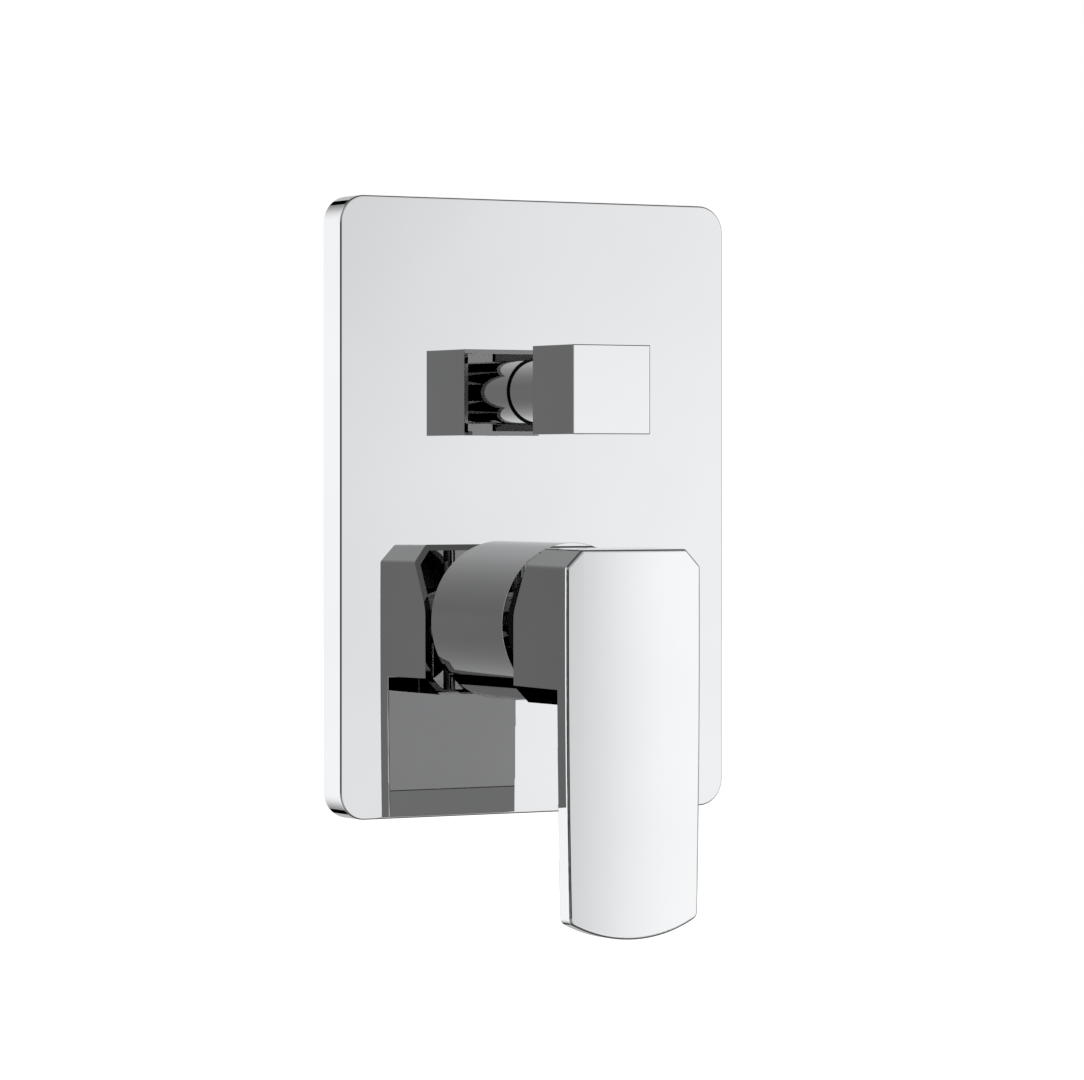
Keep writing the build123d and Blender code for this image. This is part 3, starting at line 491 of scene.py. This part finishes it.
@dataclass
class Palette:
    """The finishes of the whole mixer, each made when it is first used."""

    made: dict[str, bpy.types.Material] = field(default_factory=dict)

    def finishes(self) -> tuple[Finish, ...]:
        """Lists the finishes, with the axes that the turned ones were turned on.

        Returns:
            The finishes.
        """
        brass = ((0.78, 0.60, 0.30), (0.66, 0.49, 0.23))
        steel = ((0.60, 0.61, 0.62), (0.48, 0.49, 0.50))
        steel_roughness = 0.3
        return (
            Chrome("chrome"),
            KnobChromePaintedEdge("chrome_knob_painted_edge"),
            CastBrass("cast_brass"),
            TurnedMetal("turned_brass_lever", *brass, LEVER_Z),
            TurnedMetal("turned_brass_diverter", *brass, DIVERTER_Z),
            TurnedMetal("steel_lever", *steel, LEVER_Z, steel_roughness),
            TurnedMetal("steel_diverter", *steel, DIVERTER_Z, steel_roughness),
            Moulded("housing_plastic", (0.78, 0.78, 0.75), (0.71, 0.71, 0.68), (0.42, 0.55)),
            Moulded("carrier_plastic", (0.24, 0.26, 0.29), (0.20, 0.215, 0.24), (0.42, 0.55)),
            Moulded("ceramic", (0.90, 0.88, 0.84), (0.86, 0.84, 0.79), (0.12, 0.2), Texture.LAPPED),
            Moulded("rubber", (0.032, 0.032, 0.034), (0.022, 0.022, 0.022), (0.5, 0.68)),
            Moulded("black_plastic", (0.02, 0.02, 0.021), (0.014, 0.014, 0.015), (0.38, 0.5)),
            Moulded("foam", (0.17, 0.17, 0.18), (0.12, 0.12, 0.125), (0.85, 0.95), Texture.CELLS),
            Moulded("plug_plastic", (0.55, 0.56, 0.58), (0.50, 0.51, 0.53), (0.22, 0.32)),
        )

    def get(self, name: str) -> bpy.types.Material:
        """Gives a finish's material.

        Args:
            name: the finish's name.

        Returns:
            The material.
        """
        if name not in self.made:
            self.made[name] = {finish.name: finish for finish in self.finishes()}[name].make()
        return self.made[name]


@dataclass
class SubAssembly:
    """Pieces that belong together, and the finish of each."""

    palette: Palette
    dress_list: dict[str, tuple[str, ...]] = field(default_factory=dict)

    def dress(self, nodes: dict[str, bpy.types.Object]) -> None:
        """Gives each solid its material.

        Args:
            nodes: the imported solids, by name.
        """
        for finish, names in self.dress_list.items():
            for name in names:
                slots = nodes[name].data.materials
                slots.clear()
                slots.append(self.palette.get(finish))
                LOG.info("%s: %s", name, finish)

    def build(self) -> None:
        """Models the pieces that the solids leave to the scene, if there are any."""


@dataclass
class CoverTrim(SubAssembly):
    """The plate on the wall, its foam band and stem seal, and the sleeve over the cartridge with its cap."""

    def __post_init__(self) -> None:
        """Lists the finishes."""
        self.dress_list = {
            "chrome": ("cover_plate", "lever_sleeve"),
            "foam": ("plate_gasket",),
            "rubber": ("sleeve_o_ring", "stem_seal"),
            "black_plastic": ("sleeve_cap",),
        }


@dataclass
class Lever(SubAssembly):
    """The handle and what clamps it on the cartridge's stem."""

    def __post_init__(self) -> None:
        """Lists the finishes."""
        self.dress_list = {
            "chrome": ("lever_handle",),
            "steel_lever": ("lever_grub_screw",),
            "plug_plastic": ("screw_plug",),
        }


@dataclass
class Cartridge(SubAssembly):
    """The ceramic-disc cartridge under the sleeve."""

    def __post_init__(self) -> None:
        """Lists the finishes."""
        self.dress_list = {
            "turned_brass_lever": ("cartridge_nut",),
            "steel_lever": ("cartridge_stem", "pivot_pin"),
            "housing_plastic": ("cartridge_base",),
            "carrier_plastic": ("cartridge_housing", "stem_carrier", "disc_carriage"),
            "ceramic": ("fixed_disc", "moving_disc"),
            "rubber": ("port_seals", "carrier_o_ring"),
        }


@dataclass
class Diverter(SubAssembly):
    """The square knob and its headwork."""

    def __post_init__(self) -> None:
        """Lists the finishes."""
        self.dress_list = {
            "chrome_knob_painted_edge": ("diverter_knob",),
            "turned_brass_diverter": ("diverter_bonnet", "diverter_spindle"),
            "steel_diverter": ("knob_grub_screw", "retaining_clip"),
            "ceramic": ("diverter_fixed_disc", "diverter_moving_disc"),
            "rubber": ("bonnet_o_ring", "spindle_o_ring", "diverter_seal"),
        }


@dataclass
class ValveBody(SubAssembly):
    """The brass casting in the wall, with the threads of its ports."""

    manifold_y: float = 22.0 * MM
    inlet_reach: float = 40.0 * MM
    outlet_reach: float = 69.8 * MM
    inlet_z: float = LEVER_Z
    bore_radius: float = 9.3 * MM
    thread_pitch: float = 1.814 * MM
    thread_depth: float = 0.5 * MM
    thread_bite: float = 0.02 * MM
    ridge_share: float = 0.42
    thread_start: float = 1.0 * MM
    thread_turns: float = 6.5
    steps_per_turn: int = 48

    def __post_init__(self) -> None:
        """Lists the finishes."""
        self.dress_list = {"cast_brass": ("valve_body",)}

    def mouth(self, port: Port) -> Matrix:
        """The frame of a port's mouth, with +Z pointing into the bore.

        Args:
            port: which port.

        Returns:
            The frame, as a matrix.
        """
        axis, side = port.value
        if axis == "X":
            place = Vector((side * self.inlet_reach, self.manifold_y, self.inlet_z))
            inward = Vector((-side, 0.0, 0.0))
        else:
            place = Vector((0.0, self.manifold_y, side * self.outlet_reach))
            inward = Vector((0.0, 0.0, -side))
        turn = Vector((0.0, 0.0, 1.0)).rotation_difference(inward)
        return Matrix.Translation(place) @ turn.to_matrix().to_4x4()

    def thread(self, port: Port) -> bpy.types.Object:
        """Models the ridge of a port's thread, by turning a three-cornered section along a helix.

        Args:
            port: which port.

        Returns:
            The new piece.
        """
        shape = bmesh.new()
        root = self.bore_radius + self.thread_bite
        half = self.ridge_share * self.thread_pitch
        corners = [
            shape.verts.new((root, 0.0, self.thread_start)),
            shape.verts.new((self.bore_radius - self.thread_depth, 0.0, self.thread_start + half)),
            shape.verts.new((root, 0.0, self.thread_start + 2.0 * half)),
        ]
        section = [shape.edges.new((corners[i], corners[(i + 1) % 3])) for i in range(3)]
        steps = int(self.thread_turns * self.steps_per_turn)
        bmesh.ops.spin(
            shape,
            geom=corners + section,
            cent=(0.0, 0.0, 0.0),
            axis=(0.0, 0.0, 1.0),
            dvec=(0.0, 0.0, self.thread_pitch / self.steps_per_turn),
            angle=self.thread_turns * math.tau,
            steps=steps,
            use_merge=False,
            use_duplicate=False,
        )
        bmesh.ops.holes_fill(shape, edges=[edge for edge in shape.edges if edge.is_boundary], sides=3)
        bmesh.ops.transform(shape, matrix=self.mouth(port), verts=shape.verts)
        bmesh.ops.recalc_face_normals(shape, faces=shape.faces)
        name = f"{port.name.lower()}_port_thread"
        mesh = bpy.data.meshes.new(name)
        shape.to_mesh(mesh)
        shape.free()
        piece = bpy.data.objects.new(name, mesh)
        bpy.context.scene.collection.objects.link(piece)
        return piece

    def build(self) -> None:
        """Models and dresses the threads of the four ports."""
        for port in Port:
            piece = self.thread(port)
            piece.data.materials.append(self.palette.get("cast_brass"))
            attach(piece, "fixed")
            LOG.info("%s: %d faces", piece.name, len(piece.data.polygons))


@dataclass(frozen=True)
class Ring:
    """How bright the studio is at one elevation, by bearing in degrees: 0 in front, 90 at the right."""

    elevation: float
    stops: tuple[tuple[float, float], ...]


@dataclass
class Studio:
    """Floor, lamp and surrounding walls: soft boxes at both sides, a dark front and a flag behind."""

    floor_z: float = -0.30
    floor_size: float = 12.0
    floor_colour: Colour = (0.86, 0.86, 0.86)
    floor_glow: float = 0.45
    fill: float = 0.72
    lamp_power: float = 26.0
    lamp_size: float = 1.6
    lamp_place: tuple[float, float, float] = (0.35, -0.7, 1.7)
    zenith: float = 0.12
    nadir: float = 0.12
    floor_from: float = -60.0
    ceiling_from: float = 58.0
    flag_from: float = -1.2
    flag_to: float = 12.3
    flag_edge: float = 0.8
    flag_ends: tuple[float, float] = (52.0, 60.0)
    cast: Colour = (1.027, 1.035, 1.051)

    def rings(self) -> tuple[Ring, ...]:
        """Lists the brightness of the walls, from low to high.

        Returns:
            The rings.
        """
        low = (
            (-180, 0.50), (-174, 0.55), (-162, 1.15), (-150, 1.68), (-110, 1.72), (-90, 1.00),
            (-75, 0.50), (-50, 0.42), (-25, 0.52), (-12, 0.70), (-2, 0.87), (6, 1.10),
            (14, 1.40), (24, 1.65), (32, 1.45), (40, 1.00), (48, 0.60), (60, 0.35),
            (78, 0.25), (100, 0.30), (130, 0.40), (150, 0.55), (160, 0.68), (168, 0.66),
            (180, 0.50),
        )
        lowered = (
            (-180, 0.47), (-174, 0.53), (-163, 1.14), (-153, 1.65), (-110, 1.73), (-91, 1.00),
            (-76, 0.51), (-58, 0.43), (-30, 0.45), (-15, 0.49), (0, 0.60), (8, 0.74),
            (13, 0.87), (17, 1.03), (21, 1.20), (25, 1.37), (29, 1.53), (33, 1.66),
            (38, 1.73), (52, 1.72), (62, 1.24), (76, 0.60), (95, 0.38), (130, 0.39),
            (162, 0.60), (180, 0.47),
        )
        under_eye = (
            (-180, 0.46), (-174, 0.53), (-163, 1.12), (-153, 1.62), (-110, 1.73), (-92, 1.30),
            (-84, 0.75), (-76, 0.20), (-66, 0.04), (-41, 0.04), (-37, 0.25), (-33, 0.42),
            (-22, 0.44), (-18, 0.25), (-12, 0.06), (2, 0.08), (8, 0.33), (13, 0.67),
            (17, 0.86), (21, 1.06), (25, 1.28), (29, 1.49), (33, 1.665), (38, 1.735),
            (52, 1.72), (62, 1.27), (76, 0.64), (95, 0.40), (130, 0.39), (162, 0.59),
            (180, 0.46),
        )
        level = (
            (-180, 0.45), (-174, 0.52), (-163, 1.12), (-153, 1.62), (-110, 1.73), (-92, 1.30),
            (-84, 0.75), (-76, 0.20), (-66, 0.03), (-40, 0.03), (-36, 0.22), (-32, 0.41),
            (-30.5, 0.437), (-29.8, 0.46), (-28, 0.485), (-24, 0.25), (-19, 0.05), (2, 0.03),
            (8, 0.12), (13, 0.44), (17, 0.69), (21, 0.92), (25, 1.17), (29, 1.43),
            (33, 1.65), (37, 1.74), (52, 1.73), (62, 1.30), (76, 0.65), (95, 0.40),
            (162, 0.57), (180, 0.45),
        )
        over_eye = (
            (-180, 0.45), (-174, 0.52), (-163, 1.13), (-153, 1.64), (-110, 1.73), (-92, 1.30),
            (-84, 0.75), (-76, 0.20), (-66, 0.04), (-41, 0.04), (-37, 0.25), (-33, 0.42),
            (-22, 0.44), (-18, 0.25), (-12, 0.06), (3, 0.04), (8, 0.11), (13, 0.37),
            (17, 0.61), (21, 0.82), (25, 1.06), (29, 1.31), (33, 1.535), (37, 1.68),
            (42, 1.74), (53, 1.72), (62, 1.29), (76, 0.65), (95, 0.40), (130, 0.40),
            (162, 0.60), (180, 0.45),
        )
        raised = (
            (-180, 0.45), (-174, 0.52), (-163, 1.14), (-153, 1.65), (-110, 1.71), (-91, 1.00),
            (-76, 0.51), (-58, 0.43), (-30, 0.44), (-15, 0.47), (0, 0.46), (13, 0.47),
            (17, 0.55), (21, 0.72), (25, 0.95), (29, 1.19), (33, 1.42), (37, 1.62),
            (42, 1.73), (54, 1.72), (63, 1.28), (77, 0.64), (96, 0.41), (130, 0.42),
            (162, 0.62), (180, 0.45),
        )
        high = (
            (-180, 0.45), (-174, 0.52), (-162, 1.05), (-150, 1.58), (-110, 1.65), (-88, 1.00),
            (-70, 0.55), (-45, 0.50), (-22, 0.58), (-6, 0.75), (0, 0.82), (10, 0.99),
            (19, 1.13), (26, 1.16), (32, 1.10), (38, 0.95), (46, 0.65), (56, 0.42),
            (70, 0.32), (90, 0.30), (100, 0.35), (130, 0.50), (150, 0.74), (160, 0.76),
            (168, 0.76), (180, 0.45),
        )
        return (
            Ring(-30.0, low),
            Ring(-12.0, lowered),
            Ring(-6.5, under_eye),
            Ring(0.0, level),
            Ring(4.0, over_eye),
            Ring(8.0, raised),
            Ring(30.0, high),
        )

    @staticmethod
    def band(sheet: Sheet, turn: Socket, ring: Ring) -> Socket:
        """The brightness of one ring at a bearing.

        Args:
            sheet: the world's nodes.
            turn: the bearing, from 0 at -180 degrees to 1 at 180 degrees.
            ring: the ring.

        Returns:
            The brightness.
        """
        node = sheet.add("ShaderNodeValToRGB")
        node.color_ramp.interpolation = "CARDINAL"
        elements = node.color_ramp.elements
        while len(elements) < len(ring.stops):
            elements.new(1.0)
        for element, (bearing, level) in zip(elements, ring.stops):
            element.position = (bearing + 180.0) / 360.0
            share = level / BRIGHTEST
            element.color = (share, share, share, 1.0)
        sheet.feed(node.inputs[0], turn)
        return sheet.math("MULTIPLY", node.outputs[0], BRIGHTEST)

    def walls(self, sheet: Sheet) -> Socket:
        """The brightness of the studio by direction, as polished metal shows it.

        Args:
            sheet: the world's nodes.

        Returns:
            The brightness.
        """
        coordinates = sheet.add("ShaderNodeTexCoord")
        split = sheet.add("ShaderNodeSeparateXYZ")
        sheet.feed(split.inputs[0], coordinates.outputs["Generated"])
        x, y, z = split.outputs
        bearing = sheet.math("ARCTAN2", x, sheet.math("MULTIPLY", y, -1.0))
        turn = sheet.math("MULTIPLY_ADD", bearing, 1.0 / math.tau, 0.5)
        elevation = sheet.math("DEGREES", sheet.math("ARCSINE", z))
        light: Socket | float = self.nadir
        below = self.floor_from
        for ring in self.rings():
            step = sheet.ramp(elevation, below, ring.elevation, smooth=False)
            light = sheet.mix(step, light, self.band(sheet, turn, ring))
            below = ring.elevation
        light = sheet.mix(sheet.ramp(elevation, below, self.ceiling_from), light, self.zenith)
        behind = sheet.math("DEGREES", sheet.math("ARCTAN2", x, y))
        middle = (self.flag_from + self.flag_to) / 2.0
        half = (self.flag_to - self.flag_from) / 2.0
        away = sheet.math("ABSOLUTE", sheet.math("SUBTRACT", behind, middle))
        open_side = sheet.ramp(away, half - self.flag_edge / 2.0, half + self.flag_edge / 2.0)
        above = sheet.ramp(sheet.math("ABSOLUTE", elevation), *self.flag_ends)
        return sheet.math("MULTIPLY", light, sheet.math("MAXIMUM", open_side, above))

    def light_world(self) -> None:
        """Makes the world: white to the camera, the walls in reflections, an even fill elsewhere."""
        world = bpy.data.worlds.new("studio")
        bpy.context.scene.world = world
        world.use_nodes = True
        sheet = Sheet(world.node_tree)
        world.node_tree.nodes.clear()
        path = sheet.add("ShaderNodeLightPath")
        mirror = sheet.math("MAXIMUM", path.outputs["Is Glossy Ray"], path.outputs["Is Transmission Ray"])
        level = sheet.mix(mirror, self.fill, self.walls(sheet))
        level = sheet.mix(path.outputs["Is Camera Ray"], level, 1.0)
        background = sheet.add("ShaderNodeBackground")
        white = (1.0, 1.0, 1.0)
        sheet.feed(background.inputs["Color"], sheet.tint(path.outputs["Is Camera Ray"], self.cast, white))
        sheet.feed(background.inputs["Strength"], level)
        output = sheet.add("ShaderNodeOutputWorld")
        sheet.feed(output.inputs["Surface"], background.outputs[0])

    def light_lamp(self) -> None:
        """Hangs the soft lamp that gives the floor its shadow."""
        data = bpy.data.lights.new("soft_lamp", "AREA")
        data.energy = self.lamp_power
        data.size = self.lamp_size
        lamp = bpy.data.objects.new("soft_lamp", data)
        bpy.context.scene.collection.objects.link(lamp)
        lamp.location = self.lamp_place
        lamp.rotation_euler = (-Vector(self.lamp_place)).to_track_quat("-Z", "Y").to_euler()
        lamp.visible_glossy = False
        lamp.visible_camera = False

    def lay_floor(self) -> None:
        """Lays the pale floor, which is white to the camera apart from the part's shadow."""
        shape = bmesh.new()
        bmesh.ops.create_grid(shape, x_segments=1, y_segments=1, size=self.floor_size / 2.0)
        bmesh.ops.translate(shape, vec=(0.0, 0.0, self.floor_z), verts=shape.verts)
        mesh = bpy.data.meshes.new("floor")
        shape.to_mesh(mesh)
        shape.free()
        floor = bpy.data.objects.new("floor", mesh)
        bpy.context.scene.collection.objects.link(floor)
        floor.visible_glossy = False
        material = bpy.data.materials.new("pale_floor")
        material.use_nodes = True
        sheet = Sheet(material.node_tree)
        shader = material.node_tree.nodes["Principled BSDF"]
        shader.inputs["Base Color"].default_value = (*self.floor_colour, 1.0)
        shader.inputs["Roughness"].default_value = 1.0
        shader.inputs["Specular IOR Level"].default_value = 0.0
        path = sheet.add("ShaderNodeLightPath")
        seen = sheet.math("MAXIMUM", path.outputs["Is Camera Ray"], path.outputs["Is Glossy Ray"])
        seen = sheet.math("MAXIMUM", seen, path.outputs["Is Transmission Ray"])
        glow = sheet.math("MULTIPLY", seen, self.floor_glow)
        shader.inputs["Emission Color"].default_value = (1.0, 1.0, 1.0, 1.0)
        sheet.feed(shader.inputs["Emission Strength"], glow)
        mesh.materials.append(material)

    def build(self) -> None:
        """Builds the whole studio."""
        self.light_world()
        self.light_lamp()
        self.lay_floor()


@dataclass
class PhotoCamera:
    """The camera at the photograph's place, level, with the horizon above the middle of the frame."""

    place: tuple[float, float, float] = (-0.6865, -1.1908, 0.0105)
    forward: tuple[float, float, float] = (0.5039, 0.8637, 0.0)
    focal_pixels: float = 4643.0
    horizon_offset: float = -69.1
    sensor: float = 36.0

    def build(self) -> None:
        """Makes the camera and hands it to the scene."""
        data = bpy.data.cameras.new("photo_camera")
        data.sensor_fit = "HORIZONTAL"
        data.sensor_width = self.sensor
        data.lens = self.focal_pixels * self.sensor / IMAGE_WIDTH
        data.shift_y = self.horizon_offset / IMAGE_WIDTH
        camera = bpy.data.objects.new("photo_camera", data)
        bpy.context.scene.collection.objects.link(camera)
        camera.location = self.place
        camera.rotation_euler = Vector(self.forward).to_track_quat("-Z", "Y").to_euler()
        bpy.context.scene.camera = camera


def corners(box: tuple[Vector, Vector]) -> list[list[float]]:
    """The two corners of a box, as plain lists of numbers."""
    return [[float(value) for value in corner] for corner in box]


def main() -> None:
    """Loads the solids, dresses them, adds what they lack, and sets up studio and camera."""
    logging.basicConfig(level=logging.INFO, format="%(name)s %(message)s")
    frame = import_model()
    bpy.context.scene.view_settings.view_transform = "Standard"
    PhotoCamera().build()
    Studio().build()
    palette = Palette()
    for kind in (CoverTrim, Lever, Cartridge, Diverter, ValveBody):
        group = kind(palette)
        group.dress(frame["nodes"])
        group.build()


if __name__ == "__main__":
    main()
